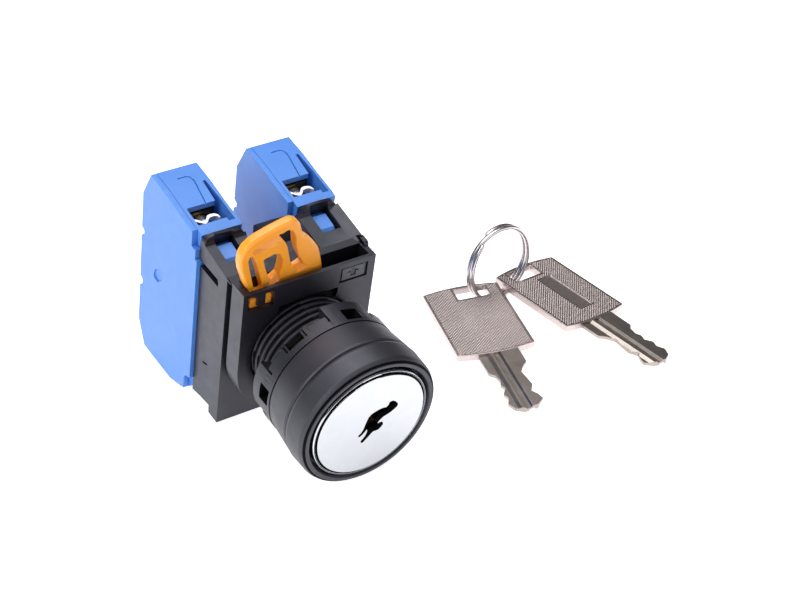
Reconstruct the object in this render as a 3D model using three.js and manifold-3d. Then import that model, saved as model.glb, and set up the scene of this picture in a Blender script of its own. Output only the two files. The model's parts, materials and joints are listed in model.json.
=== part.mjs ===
// Selector key switch for a 22 mm panel hole: key operator, mounting adapter, two contact blocks
// and the two keys on their split ring.  Millimetres.  Built in the switch's own frame first
// (X right, Y from the face towards the contacts, Z up, operator axis on Y), then laid down nose
// first on the ground, with the keys lying flat beside it.
import * as THREE from 'three'
import { mergeVertices } from 'three/addons/utils/BufferGeometryUtils.js'
import Module from 'manifold-3d'

const wasm = await Module()
wasm.setup()

// ---------- driving dimensions ----------
const FACE_SEGMENTS = 48
const RIM_FRONT = -29.8        // front of the bezel ring
const RIM_RADIUS = 14.75       // widest point of the bezel's front band
const RIM_REACH = 28.5         // distance of that widest point in front of the adapter
const SEAM = -23.9             // joint between bezel ring and operator body
const FLANGE_REAR = -17.05     // face that presses on the panel
const STEM_RADIUS = 10.9       // 22 mm class stem, thread crest
const THREAD_ROOT = 10.35
const THREAD_PITCH = 1.5
const STEM_END = -1.6

const DISC_RADIUS = 12.45
const DISC_FRONT = -30.1      // raised flat of the face disc
const DISC_RIM = -29.75
const DISC_REAR = -27.9
const PLUG_RADIUS = 7.2
const BARREL_BORE = 7.4
const BARREL_RADIUS = 8.85
const PLUG_END = -1.3

const ADAPTER_HALF = 14.6      // half width of the mounting adapter
const ADAPTER_DEPTH = 9.9
const ADAPTER_BOTTOM = -19.8
const ADAPTER_TOP = 16.3
const BOSS_FRONT = -5.85
const BOSS_TOP = 17.5
const BOSS_HALF = 14.45
const BOSS_ROUND_CENTRE = -1.3
const SEAM_DEPTH = 1.2         // groove that parts the boss from the plate behind it

const CAM_INNER = 8.6
const CAM_OUTER = 12.2
const CAM_FRONT = 0.8
const CAM_BACK = 2.4
const PLUNGER_TRAVEL = 2.2     // pushed over a quarter turn of the key

const BLOCK_WIDTH = 9.9
const BLOCK_SPACING = 20.93
const COVER_THICKNESS = 1.2
const BLOCK_FRONT = 10.0
const BLOCK_CENTRE = BLOCK_WIDTH / 2

const KEY_HEAD_HALF = 8.6
const KEY_HEAD_LENGTH = 22.6
const KEY_HEAD_THICKNESS = 1.5
const KEY_BLADE_THICKNESS = 1.15
const RING_RADIUS = 8.5
const RING_WIRE = 1.0

// ---------- materials ----------
const LOOKS = {
  black_plastic: [0x24242a, 0.0, 0.5],
  blue_plastic: [0x3c86e0, 0.0, 0.45],
  orange_plastic: [0xf09a2a, 0.0, 0.45],
  white_plastic: [0xe6e6e0, 0.0, 0.5],
  rubber: [0x17181a, 0.0, 0.9],
  chrome: [0xe8eaf0, 1.0, 0.12],
  zinc: [0x8f9296, 1.0, 0.4],
  steel: [0xb9bcc0, 1.0, 0.3],
  copper_alloy: [0xc8a05a, 1.0, 0.3],
  nickel: [0xa89c96, 1.0, 0.35],
}

function look(name) {
  const [color, metalness, roughness] = LOOKS[name]
  return new THREE.MeshStandardMaterial({ name, color, metalness, roughness })
}

function piece(name, geometry, material) {
  const mesh = new THREE.Mesh(geometry, look(material))
  mesh.name = name
  return mesh
}

// ---------- solid helpers ----------
function solid(geometry) {
  const bare = geometry.clone()
  bare.deleteAttribute('normal')
  bare.deleteAttribute('uv')
  const merged = mergeVertices(bare, 1e-5)
  return new wasm.Manifold(new wasm.Mesh({
    numProp: 3,
    vertProperties: new Float32Array(merged.attributes.position.array),
    triVerts: new Uint32Array(merged.index.array),
  }))
}

function surface(shape) {
  const mesh = shape.getMesh()
  const geometry = new THREE.BufferGeometry()
  geometry.setAttribute('position', new THREE.BufferAttribute(new Float32Array(mesh.vertProperties), 3))
  geometry.setIndex(new THREE.BufferAttribute(new Uint32Array(mesh.triVerts), 1))
  geometry.computeVertexNormals()
  return geometry
}

function box(x, y, z) {
  const geometry = new THREE.BoxGeometry(x[1] - x[0], y[1] - y[0], z[1] - z[0])
  geometry.translate((x[0] + x[1]) / 2, (y[0] + y[1]) / 2, (z[0] + z[1]) / 2)
  return solid(geometry)
}

function outline(points) {
  return new THREE.Shape(points.map(([a, b]) => new THREE.Vector2(a, b)))
}

// A plate whose outline is given in X and Z, from y[0] to y[1].
function plateXZ(points, y) {
  const geometry = new THREE.ExtrudeGeometry(outline(points), { depth: y[1] - y[0], bevelEnabled: false })
  geometry.rotateX(Math.PI / 2)
  geometry.translate(0, y[1], 0)
  return solid(geometry)
}

// A plate whose outline is given in Y and Z, from x[0] to x[1].
function plateYZ(points, x) {
  const geometry = new THREE.ExtrudeGeometry(outline(points), { depth: x[1] - x[0], bevelEnabled: false })
  const turn = new THREE.Matrix4().makeBasis(
    new THREE.Vector3(0, 1, 0), new THREE.Vector3(0, 0, 1), new THREE.Vector3(1, 0, 0))
  geometry.applyMatrix4(turn)
  geometry.translate(x[0], 0, 0)
  return solid(geometry)
}

function plateXY(points, z) {
  const geometry = new THREE.ExtrudeGeometry(outline(points), { depth: z[1] - z[0], bevelEnabled: false })
  geometry.translate(0, 0, z[0])
  return solid(geometry)
}

// A turned solid about the operator axis; the profile is [radius, y] from the axis back to it,
// or a closed loop away from it.
function turned(profile, segments = FACE_SEGMENTS) {
  const points = profile.map(([r, y]) => new THREE.Vector2(r, y))
  return solid(new THREE.LatheGeometry(points, segments))
}

function rod(radius, y, segments = 32, at = [0, 0]) {
  const shape = turned([[0, y[0]], [radius, y[0]], [radius, y[1]], [0, y[1]]], segments)
  return shape.translate([at[0], 0, at[1]])
}

function tube(outer, inner, y, segments = FACE_SEGMENTS) {
  const loop = [[inner, y[0]], [outer, y[0]], [outer, y[1]], [inner, y[1]], [inner, y[0]]]
  return turned(loop, segments)
}

function arc(radius, centre, from, to, steps) {
  const points = []
  for (let i = 0; i <= steps; i++) {
    const angle = THREE.MathUtils.degToRad(from + (to - from) * i / steps)
    points.push([centre[0] + radius * Math.cos(angle), centre[1] + radius * Math.sin(angle)])
  }
  return points
}

function cutAll(shape, tools) {
  return tools.reduce((rest, tool) => rest.subtract(tool), shape)
}

function joinAll(shapes) {
  return shapes.reduce((sum, shape) => sum.add(shape))
}

// ---------- key operator ----------
const KEYWAY = [
  [3.73, 4.33], [4.29, 4.27], [4.91, 3.83], [5.47, 3.08], [5.52, 2.41], [5.06, 2.02], [4.34, 1.55],
  [3.51, 1.16], [2.65, 0.94], [2.04, 0.48], [1.43, -0.36], [2.37, -0.28], [2.73, -0.78], [2.69, -1.28],
  [2.31, -1.77], [1.8, -2.14], [0.73, -2.14], [0.23, -2.54], [-0.25, -3.11], [-1.34, -4.15],
  [-1.72, -4.11], [-1.96, -3.6], [-1.01, -2.38], [-0.76, -1.58], [-0.85, -0.89], [-1.73, -1.93],
  [-2.28, -2.34], [-2.63, -2.12], [-2.59, -1.75], [-2.04, -1.27], [-1.65, -0.53], [-1.39, 0.52],
  [-0.84, 2.21], [-0.35, 2.69], [0.38, 3.02], [1.23, 3.24], [2.05, 3.34], [2.89, 3.21], [3.34, 3.6],
  [3.43, 4.13],
]

function makeBezelRing() {
  const profile = [
    [13.0, -29.3], [13.25, RIM_FRONT], [14.0, RIM_FRONT], [14.6, -29.3], [RIM_RADIUS, -RIM_REACH],
    [14.9, SEAM - 0.15], [12.0, SEAM - 0.15], [12.0, -27.6], [12.75, -27.6], [12.75, -28.6],
    [13.0, -29.3],
  ]
  return piece('bezel_ring', surface(turned(profile)), 'black_plastic')
}

function makeOperatorBody() {
  const profile = [[9.0, SEAM], [14.75, SEAM], [14.1, FLANGE_REAR], [12.7, FLANGE_REAR]]
  profile.push([12.7, -17.85], [11.2, -17.85], [11.2, FLANGE_REAR], [THREAD_ROOT, FLANGE_REAR])
  for (let y = -16.4; y < -3.5; y += THREAD_PITCH) {
    profile.push([THREAD_ROOT, y], [STEM_RADIUS, y + THREAD_PITCH / 2])
  }
  profile.push([THREAD_ROOT, STEM_END], [9.0, STEM_END], [9.0, SEAM])
  return piece('operator_body', surface(turned(profile, 40)), 'black_plastic')
}

function makePanelGasket() {
  return piece('panel_gasket', surface(tube(12.6, 11.3, [-17.85, -17.1], 48)), 'rubber')
}

function makeLockBarrel() {
  const profile = [
    [BARREL_BORE, -27.4], [11.8, -27.4], [11.8, SEAM - 0.05], [BARREL_RADIUS, SEAM - 0.05],
    [BARREL_RADIUS, STEM_END], [BARREL_BORE, STEM_END], [BARREL_BORE, -27.4],
  ]
  return piece('lock_barrel', surface(turned(profile, 48)), 'zinc')
}

function makeFaceDisc() {
  const profile = [
    [0, DISC_FRONT], [11.7, DISC_FRONT], [11.75, DISC_RIM], [12.2, DISC_RIM], [DISC_RADIUS, -29.4],
    [DISC_RADIUS, DISC_REAR],
    [0, DISC_REAR],
  ]
  const disc = turned(profile).subtract(plateXZ(KEYWAY, [-31, -27]))
  return piece('face_disc', surface(disc), 'chrome')
}

function makeLockPlug() {
  const plug = rod(PLUG_RADIUS, [DISC_REAR, PLUG_END], 48)
  const keyway = plateXZ(KEYWAY, [-30, -9])
  const screwHole = rod(1.5, [-5.2, 0], 16)
  return piece('lock_plug', surface(cutAll(plug, [keyway, screwHole])), 'copper_alloy')
}

// Height of the two ramps on the back of the cam, by angle counted from the right-hand plunger.
function rampHeight(angle) {
  const ahead = ((-angle % 180) + 180) % 180
  if (ahead <= 90) return PLUNGER_TRAVEL * ahead / 90
  if (ahead <= 108) return PLUNGER_TRAVEL
  if (ahead <= 120) return PLUNGER_TRAVEL * (120 - ahead) / 12
  return 0
}

function rampRing() {
  const steps = 48
  const positions = []
  const faces = []
  for (let i = 0; i < steps; i++) {
    const degrees = 360 * i / steps
    const angle = THREE.MathUtils.degToRad(degrees)
    const back = CAM_BACK + rampHeight(degrees)
    for (const [r, y] of [[CAM_INNER, 1.4], [CAM_OUTER, 1.4], [CAM_OUTER, back], [CAM_INNER, back]]) {
      positions.push(r * Math.cos(angle), y, r * Math.sin(angle))
    }
    const next = ((i + 1) % steps) * 4
    for (let k = 0; k < 4; k++) {
      const a = i * 4 + k
      const b = i * 4 + (k + 1) % 4
      const c = next + (k + 1) % 4
      const d = next + k
      faces.push(a, b, c, a, c, d)
    }
  }
  const geometry = new THREE.BufferGeometry()
  geometry.setAttribute('position', new THREE.Float32BufferAttribute(positions, 3))
  geometry.setIndex(faces)
  return solid(geometry)
}

function makeRotorCam() {
  const hub = rod(8.4, [PLUG_END, CAM_BACK], 48)
  const flange = rod(CAM_OUTER, [CAM_FRONT, 1.6], 48)
  const cam = joinAll([flange, rampRing(), hub]).subtract(rod(1.65, [-2, 4], 16))
  return piece('rotor_cam', surface(cam), 'white_plastic')
}

function makeCamScrew() {
  const head = rod(2.8, [CAM_BACK, 3.9], 20)
  const shank = rod(1.4, [-4.8, 2.6], 16)
  const slot = box([-3, 3], [3.3, 4.2], [-0.4, 0.4])
  return piece('cam_screw', surface(head.add(shank).subtract(slot)), 'steel')
}

// ---------- locking ring nut ----------
const NUT_POSITIONS = 7        // wrench positions round the nut
const NUT_FIRST = 75           // degrees from +X, first position
const NUT_WINDOWS = [0, 3, 5]  // which positions are closed windows; the others are open notches

function sector(centreDegrees, halfDegrees, inner, outer, y) {
  const steps = 4
  const points = arc(inner, [0, 0], centreDegrees + halfDegrees, centreDegrees - halfDegrees, steps)
  points.push(...arc(outer, [0, 0], centreDegrees - halfDegrees, centreDegrees + halfDegrees, steps))
  return plateXZ(points, y)
}

function makeLockingRing() {
  const bore = 11.25
  let nut = tube(14.2, bore, [FLANGE_REAR + 0.1, -12.6], FACE_SEGMENTS)
  for (let i = 0; i < NUT_POSITIONS; i++) {
    const centre = NUT_FIRST + i * 360 / NUT_POSITIONS
    if (NUT_WINDOWS.includes(i)) {
      nut = nut.add(sector(centre, 20, 11.5, 14.2, [-12.8, -11.2]))
      nut = nut.subtract(sector(centre, 7.5, 12.2, 15, [-16.3, -13.4]))
    } else {
      nut = nut.subtract(sector(centre, 7.5, 11, 15, [-15.6, -12]))
    }
  }
  return piece('locking_ring', surface(nut), 'black_plastic')
}

// ---------- mounting adapter ----------
const CLIP_PROFILE = [
  [-1.3, 14.0], [3.0, 14.0], [3.4, 14.6], [10.3, 14.6], [10.4, 19.2], [9.9, 20.6], [9.1, 20.6],
  [8.7, 18.7], [0.3, 17.3], [-1.3, 17.1],
]

// The boss is round below and square above.
function bossOutline(half, top) {
  return [...arc(half, [0, BOSS_ROUND_CENTRE], 180, 360, 24), [half, top], [-half, top]]
}

function makeAdapter() {
  const lower = [
    [0, ADAPTER_BOTTOM], [3.3, ADAPTER_BOTTOM], [3.4, -17.9], [6.8, -18.4], [ADAPTER_DEPTH, -19.0],
    [ADAPTER_DEPTH, 13.0], [3.1, 13.0], [3.0, ADAPTER_TOP], [0, ADAPTER_TOP],
  ]
  const plate = plateYZ(lower, [-ADAPTER_HALF, ADAPTER_HALF])
  const boss = plateXZ(bossOutline(BOSS_HALF, BOSS_TOP), [BOSS_FRONT, 0.2])
  const seam = plateXZ(bossOutline(BOSS_HALF + 1, 15.8), [-1.6, -0.02])
    .subtract(plateXZ(bossOutline(BOSS_HALF - SEAM_DEPTH, 18), [-2, 1]))
  const clips = [-1, 1].map((side) => {
    const x = side < 0 ? [-ADAPTER_HALF, -5.8] : [5.8, ADAPTER_HALF]
    return plateYZ(CLIP_PROFILE, x)
  })
  const tab = plateYZ([[-1.3, 14], [3.2, 12.5], [10.3, 12.9], [10.5, 18.6], [8.4, 19.2], [6.6, 15.6]], [-3.1, 3.4])
  const sideRim = plateYZ([[0.8, 17], [1.2, 18.5], [8.7, 19.2], [8.9, 18.5]], [13.7, ADAPTER_HALF])
  const ear = box([13.6, ADAPTER_HALF], [-3.3, 0.2], [16, 19.2])
  const rearCorners = [
    plateXZ([[5.7, 17.4], [6.8, 18.5], [7.4, 20.2], [11.5, 20.45], [14.7, 19.0], [14.7, 22], [5.7, 22]], [8.8, 11]),
    plateXZ([[-14.7, 18.6], [-14.4, 19.7], [-12.4, 20.2], [-6.5, 19.7], [-5.7, 18.6], [-5.7, 22], [-14.7, 22]], [8.8, 11]),
  ]
  const countersink = turned([[0, -6.5], [14.9, -6.5], [11.2, -5.23], [0, -5.23]])
  const tools = [
    rod(11.25, [-7, -1.5], FACE_SEGMENTS),
    rod(8.95, [-3, 1], 48),
    rod(12.75, [-4.6, -1.6], FACE_SEGMENTS),
    box([-13.1, 13.3], [-5.05, -1.6], [12.6, 20]),
    box([-13.1, 13.3], [-4.6, -1.6], [7, 20]),
    rod(12.75, [0.3, 12], FACE_SEGMENTS),
    countersink,
    seam,
    ...rearCorners,
    box([-6.5, 6.5], [-7, BOSS_FRONT + 0.9], [8, 11.7]),
    box([6.6, 12.8], [-7, BOSS_FRONT + 0.35], [13.0, 16.4]),
    box([-13.4, -7.7], [-7, -4], [13.3, 16.6]),
  ]
  for (const side of [-1, 1]) {
    const middle = side * BLOCK_SPACING / 2
    tools.push(box([middle - 2.05, middle + 2.05], [3.6, 9.3], [14.8, 22]))
    tools.push(box([middle - 2.05, middle + 2.05], [9.0, 12], [14.8, 17.95]))
  }
  const adapter = cutAll(joinAll([plate, boss, ...clips, tab, sideRim, ear]), tools)
  return piece('mounting_adapter', surface(adapter), 'black_plastic')
}

// Thumb lever and the bayonet ring it turns, one moulding.
function makeLockingLever() {
  const blade = plateXZ([
    [-8.2, 8.6], [-10.2, 12.4], [-11.6, 15.1], [-13.1, 17.9], [-13.9, 20.3], [-14.5, 22.1], [-14.8, 23.9],
    [-14.6, 25.7], [-13.9, 27.1], [-12.6, 28.2], [-11.4, 28.8], [-8.6, 29.7], [-5.3, 30.5], [-4.0, 30.6],
    [-3.1, 30.1], [-2.4, 29.2], [-2.0, 27.9], [-1.5, 26.3], [-0.5, 25.6], [0.4, 24.7], [1.4, 23.4],
    [2.3, 22.0], [2.8, 20.4], [3.2, 18.8], [3.6, 16.9], [4.2, 11.2], [0, 11.9],
  ], [-4.2, -2.0])
  const ring = tube(12.35, 11.3, [-4.2, -2.0], FACE_SEGMENTS)
  const pad = box([-12.5, -7.9], [-4.95, -3.9], [13.2, 15.2])
  const slot = [
    [-13.1, 24.0], [-12.8, 25.1], [-12.2, 24.9], [-11.3, 23.2], [-10.7, 21.3], [-10.0, 18.9], [-9.4, 16.8],
    [-9.0, 15.2], [-10.9, 15.2], [-11.5, 17.3], [-12.1, 19.7], [-12.7, 22.0],
  ]
  const middleHole = [
    [-9.9, 23.3], [-7.7, 24.0], [-6.3, 23.6], [-5.5, 21.9], [-5.6, 19.7], [-5.9, 18.2], [-7.2, 17.3],
    [-8.1, 17.8], [-8.7, 19.5], [-9.2, 20.8],
  ]
  const rightHole = [
    [-6.5, 28.2], [-5.0, 28.8], [-3.8, 28.0], [-3.1, 26.3], [-2.8, 24.0], [-2.1, 21.9], [-0.7, 19.2],
    [-2.3, 18.5], [-3.4, 19.0], [-3.9, 20.7], [-4.4, 22.7], [-4.9, 24.7], [-5.5, 26.1], [-6.5, 27.4],
  ]
  const tools = [
    box([-11.2, -9.6], [-6, -4.2], [13.9, 16]),
    rod(11.3, [-6, 0], FACE_SEGMENTS),
    ...[slot, middleHole, rightHole].map((outline) => plateXZ(outline, [-6, 0])),
  ]
  const lever = cutAll(joinAll([blade, ring, pad]), tools)
  return piece('locking_lever', surface(lever), 'orange_plastic')
}

// ---------- contact block ----------
const BLOCK_REAR = [
  [12.2, -20.4], [17.6, -22.3], [29.0, -22.5], [31.8, -17.1], [31.8, -8.0], [30.8, -7.6], [30.8, -5.9],
  [31.8, -5.5], [31.8, 4.9], [30.8, 5.3], [30.8, 6.7], [31.8, 7.1], [31.8, 15.5], [28.9, 21.7],
  [23.2, 21.3], [17.1, 20.4], [12.3, 19.9],
]
const CASE_PROFILE = [
  [BLOCK_FRONT, -16.4], [10.5, -18.4], [11.3, -19.7], ...BLOCK_REAR,
  [10.8, 19.5], [10.8, 14.2], [BLOCK_FRONT, 14.2],
]
const COVER_PROFILE = [
  [BLOCK_FRONT, -15.9], [11.6, -16.4], [12.1, -17.2], ...BLOCK_REAR,
  [12.2, 16.4], [10.7, 16.4], [10.7, 14.2], [BLOCK_FRONT, 14.2],
]
const PLATE_FRONT = 18.1       // front face of a fixed contact
const PLATE_THICKNESS = 0.9
const SCREW_HEIGHT = 16.3
const CLAMP_TRAVEL = 1.2
const CAVITY_TOP = 9.6

function terminalTools(side) {
  const z = (low, high) => (side > 0 ? [low, high] : [-high, -low])
  return [
    box([1.9, 8.2], [13.2, 18.1], z(12.6, 24)),
    box([1.9, 8.0], [18.0, 20.4], z(12.6, 19.4)),
    box([7.6, 9.1], [12.6, 24.5], z(17.4, 24)),
    box([2.1, 7.8], [17.9, 19.2], z(4.8, 19.0)),
    rod(3.1, [20.2, 33], 20, [BLOCK_CENTRE, side * SCREW_HEIGHT]),
  ]
}

function makeContactCase() {
  const body = plateYZ(CASE_PROFILE, [COVER_THICKNESS + 0.05, BLOCK_WIDTH])
  const latch = box([BLOCK_CENTRE - 1.8, BLOCK_CENTRE + 1.8], [4.8, 12.6], [15.1, 17.4])
  const tools = [
    box([0, 8.4], [11.5, 30.3], [-CAVITY_TOP, CAVITY_TOP]),
    box([BLOCK_CENTRE - 1.7, BLOCK_CENTRE + 1.7], [9, 12], [-2.2, 2.2]),
    ...terminalTools(1),
    ...terminalTools(-1),
  ]
  return cutAll(body.add(latch), tools)
}

function makeContactCover() {
  return plateYZ(COVER_PROFILE, [0, COVER_THICKNESS])
}

function makePlunger() {
  const stem = box([BLOCK_CENTRE - 1.5, BLOCK_CENTRE + 1.5], [CAM_BACK + 0.5, 14.6], [-2, 2])
  const collar = box([BLOCK_CENTRE - 2.6, BLOCK_CENTRE + 2.6], [11.7, 12.9], [-3.4, 3.4])
  return stem.add(collar)
}

function makeBridge() {
  const bar = box([BLOCK_CENTRE - 1.5, BLOCK_CENTRE + 1.5], [14.6, 15.3], [-7.6, 7.6])
  const buttons = [-1, 1].map((side) => rod(1.1, [15.2, 15.7], 12, [BLOCK_CENTRE, side * 6.3]))
  return joinAll([bar, ...buttons])
}

function makeSpring() {
  const turns = 5.5
  const steps = 44
  const points = []
  for (let i = 0; i <= steps; i++) {
    const angle = i / steps * turns * 2 * Math.PI
    const y = 15.65 + i / steps * 11.9
    points.push(new THREE.Vector3(BLOCK_CENTRE + 2.1 * Math.cos(angle), y, 2.1 * Math.sin(angle)))
  }
  const path = new THREE.CatmullRomCurve3(points)
  const section = outline(arc(0.3, [0, 0], 0, 288, 4))
  return solid(new THREE.ExtrudeGeometry(section, { steps: 44, bevelEnabled: false, extrudePath: path }))
}

function makeFixedContact(side) {
  const z = side > 0 ? [5.0, 18.8] : [-18.8, -5.0]
  const plate = box([2.3, 7.6], [PLATE_FRONT, PLATE_FRONT + PLATE_THICKNESS], z)
  return plate.subtract(rod(1.95, [17, 20], 16, [BLOCK_CENTRE, side * SCREW_HEIGHT]))
}

// Saddle clamp: a square plate with its two side edges bent towards the wire.
function makeClamp(side) {
  const middle = side * SCREW_HEIGHT
  const z = [middle - 2.5, middle + 2.5]
  const plate = box([2.2, 7.7], [15.6, 16.4], z)
  const wings = [[2.2, 3.0], [6.9, 7.7]].map((x) => box(x, [14.6, 16.0], z))
  const hole = rod(1.95, [14, 18], 16, [BLOCK_CENTRE, middle])
  return joinAll([plate, ...wings]).subtract(hole)
}

function makeTerminalScrew(side) {
  const at = [BLOCK_CENTRE, side * SCREW_HEIGHT]
  const head = rod(2.7, [20.5, 22.6], 20, at)
  const shank = rod(1.75, [13.9, 20.8], 16, at)
  const cross = [
    box([BLOCK_CENTRE - 1.6, BLOCK_CENTRE + 1.6], [21.8, 23], [at[1] - 0.35, at[1] + 0.35]),
    box([BLOCK_CENTRE - 0.35, BLOCK_CENTRE + 0.35], [21.8, 23], [at[1] - 1.6, at[1] + 1.6]),
  ]
  return cutAll(head.add(shank), cross)
}

function makeContactBlock(label) {
  const block = new THREE.Group()
  const add = (name, shape, material) => block.add(piece(`${name}_${label}`, surface(shape), material))
  add('contact_case', makeContactCase(), 'blue_plastic')
  add('contact_cover', makeContactCover(), 'blue_plastic')
  add('plunger', makePlunger(), 'white_plastic')
  add('contact_bridge', makeBridge(), 'copper_alloy')
  add('return_spring', makeSpring(), 'steel')
  for (const [end, side] of [['upper', 1], ['lower', -1]]) {
    add(`fixed_contact_${end}`, makeFixedContact(side), 'copper_alloy')
    add(`wire_clamp_${end}`, makeClamp(side), 'steel')
    add(`terminal_screw_${end}`, makeTerminalScrew(side), 'steel')
  }
  return block
}

// ---------- keys ----------
const BLADE = [
  [-4.2, -11.4], [-4.2, -18.0], [-3.1, -19.1], [-2.7, -20.9], [-3.2, -22.3], [-2.6, -23.6], [-3.7, -25.2],
  [-3.1, -26.7], [-3.9, -28.4], [-3.0, -30.3], [-1.2, -31.2], [1.6, -30.8], [3.3, -29.3], [2.9, -27.8],
  [1.9, -26.3], [2.9, -24.4], [2.6, -22.2], [2.2, -19.9], [3.2, -18.2], [4.5, -16.9], [4.5, -11.4],
]

function makeKeyShape() {
  const end = KEY_HEAD_LENGTH / 2
  const bow = (x) => end + 1.0 * (1 - (x / KEY_HEAD_HALF) ** 2)
  const head = []
  for (let i = 0; i <= 8; i++) {
    const x = KEY_HEAD_HALF * (i / 4 - 1)
    head.push([x, -bow(x)])
  }
  for (let i = 8; i >= 0; i--) {
    const x = KEY_HEAD_HALF * (i / 4 - 1)
    head.push([x, bow(x)])
  }
  const half = KEY_HEAD_THICKNESS / 2
  const blade = plateXY(BLADE, [-KEY_BLADE_THICKNESS / 2, KEY_BLADE_THICKNESS / 2])
  const tools = [
    box([-1.5, 5.4], [7.7, 11.2], [-2, 2]),
    box([-0.9, 0.5], [-33, -11], [KEY_BLADE_THICKNESS / 2 - 0.35, 2]),
    box([-0.2, 1.2], [-33, -11], [-2, 0.35 - KEY_BLADE_THICKNESS / 2]),
    box([-2.9, 0.7], [-7.7, 5.6], [-2, 0.25 - half]),
  ]
  return cutAll(plateXY(head, [-half, half]).add(blade), tools)
}

// A key lying on the ground: yaw about Z, then roll about its length, then pitch about its width.
function placeKey(name, at, turns, faceDown) {
  const [yaw, roll, pitch] = turns.map(THREE.MathUtils.degToRad)
  const mesh = piece(name, surface(makeKeyShape()), 'nickel')
  const holder = new THREE.Group()
  holder.position.set(...at)
  holder.rotation.set(pitch, roll, yaw, 'ZYX')
  if (faceDown) mesh.rotation.y = Math.PI
  holder.add(mesh)
  return holder
}

// Two close turns of wire side by side, with the short crossing between them.
function makeSplitRing() {
  const steps = 72
  const points = []
  for (let i = 0; i <= steps; i++) {
    const turn = 1.96 * i / steps
    const cross = THREE.MathUtils.smoothstep(turn, 0.84, 1.12)
    const angle = 2 * Math.PI * turn + 2.25
    points.push(new THREE.Vector3(RING_RADIUS * Math.cos(angle), -0.55 + 1.1 * cross, RING_RADIUS * Math.sin(angle)))
  }
  const path = new THREE.CatmullRomCurve3(points)
  const section = outline(arc(RING_WIRE / 2, [0, 0], 0, 300, 5))
  const wire = solid(new THREE.ExtrudeGeometry(section, { steps: 64, bevelEnabled: false, extrudePath: path }))
  return piece('split_ring', surface(wire), 'chrome')
}

// ---------- assembly ----------
const restTilt = Math.atan2(-ADAPTER_BOTTOM - RIM_RADIUS, RIM_REACH)

function makeSwitch() {
  const group = new THREE.Group()
  group.name = 'switch'
  group.add(makeBezelRing(), makeOperatorBody(), makePanelGasket(), makeLockBarrel())
  group.add(makeFaceDisc(), makeLockPlug(), makeRotorCam(), makeCamScrew())
  group.add(makeLockingRing(), makeAdapter(), makeLockingLever())
  for (const [label, side] of [['left', -1], ['right', 1]]) {
    const block = makeContactBlock(label)
    block.position.x = side * BLOCK_SPACING / 2 - BLOCK_CENTRE
    group.add(block)
  }
  group.rotation.x = restTilt
  group.position.z = -ADAPTER_BOTTOM * Math.cos(restTilt)
  return group
}

function makeKeySet() {
  const group = new THREE.Group()
  group.name = 'key_set'
  group.add(placeKey('key_1', [48.65, 2.57, 2.75], [-16.13, -2.0, 3.0], false))
  group.add(placeKey('key_2', [70.42, 2.36, 2.6], [5.57, 3.0, 3.0], true))
  const ring = makeSplitRing()
  ring.position.set(60.25, 11.35, RING_RADIUS + RING_WIRE / 2 + 0.03)
  ring.rotation.set(THREE.MathUtils.degToRad(-2), 0, THREE.MathUtils.degToRad(8), 'ZYX')
  group.add(ring)
  return group
}

const root = new THREE.Group()
root.name = 'selector_key_switch'
root.add(makeSwitch(), makeKeySet())
root.updateMatrixWorld(true)
const extent = new THREE.Box3().setFromObject(root, true)
root.position.set(-(extent.min.x + extent.max.x) / 2, -(extent.min.y + extent.max.y) / 2, -extent.min.z)
root.updateMatrixWorld(true)

export default root
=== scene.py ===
"""Looks of the selector key switch and its two keys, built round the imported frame.

Shapes are in millimetres in the switch's own frame (X right, Y from the face back, Z up, the operator
axis on Y), in a contact block's frame, or in a key's frame, and are then carried into the row's frame.
"""

import json
import math

import bmesh
import bpy
from mathutils import Matrix, Vector


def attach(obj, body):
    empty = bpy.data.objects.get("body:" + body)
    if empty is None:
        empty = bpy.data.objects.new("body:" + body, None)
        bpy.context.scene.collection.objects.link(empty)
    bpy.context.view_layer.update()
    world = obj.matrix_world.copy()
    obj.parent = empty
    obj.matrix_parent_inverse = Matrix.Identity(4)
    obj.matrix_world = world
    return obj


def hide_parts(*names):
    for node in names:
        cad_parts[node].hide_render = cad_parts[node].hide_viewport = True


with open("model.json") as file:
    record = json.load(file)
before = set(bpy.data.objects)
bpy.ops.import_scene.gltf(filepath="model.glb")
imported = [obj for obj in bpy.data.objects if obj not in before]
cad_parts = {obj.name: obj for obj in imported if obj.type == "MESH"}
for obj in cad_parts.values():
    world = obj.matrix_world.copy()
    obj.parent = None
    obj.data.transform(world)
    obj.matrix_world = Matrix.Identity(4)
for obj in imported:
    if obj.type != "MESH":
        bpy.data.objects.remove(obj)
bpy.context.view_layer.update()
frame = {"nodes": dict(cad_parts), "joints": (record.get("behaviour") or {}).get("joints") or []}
nodes = frame["nodes"]
MM = 0.001

# ---------- frames ----------
KEY_TURN_Y = -29.3  # where the key_turn joint sits on the operator axis
DISC_FRONT = -30.1
BLOCK_SPACING = 20.93
BLOCK_CENTRE = 4.95  # the middle of a block's width, in its own frame

key_turn = next(j for j in frame["joints"] if j["name"] == "key_turn")
axis_x = Vector((1, 0, 0))
axis_y = -Vector(key_turn["axis"]).normalized()
axis_z = axis_x.cross(axis_y)
origin = Vector(key_turn["pos_m"]) - axis_y * KEY_TURN_Y * MM


def frame_of(x, y, z, at):
    """The matrix with these three axes and this origin."""
    m = Matrix.Identity(4)
    for i, v in enumerate((x, y, z, at)):
        for k in range(3):
            m[k][i] = v[k]
    return m


SWITCH = frame_of(axis_x * MM, axis_y * MM, axis_z * MM, origin)
BLOCKS = {
    side: SWITCH @ Matrix.Translation((sign * BLOCK_SPACING / 2 - BLOCK_CENTRE, 0, 0))
    for side, sign in (("left", -1), ("right", 1))
}


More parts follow.
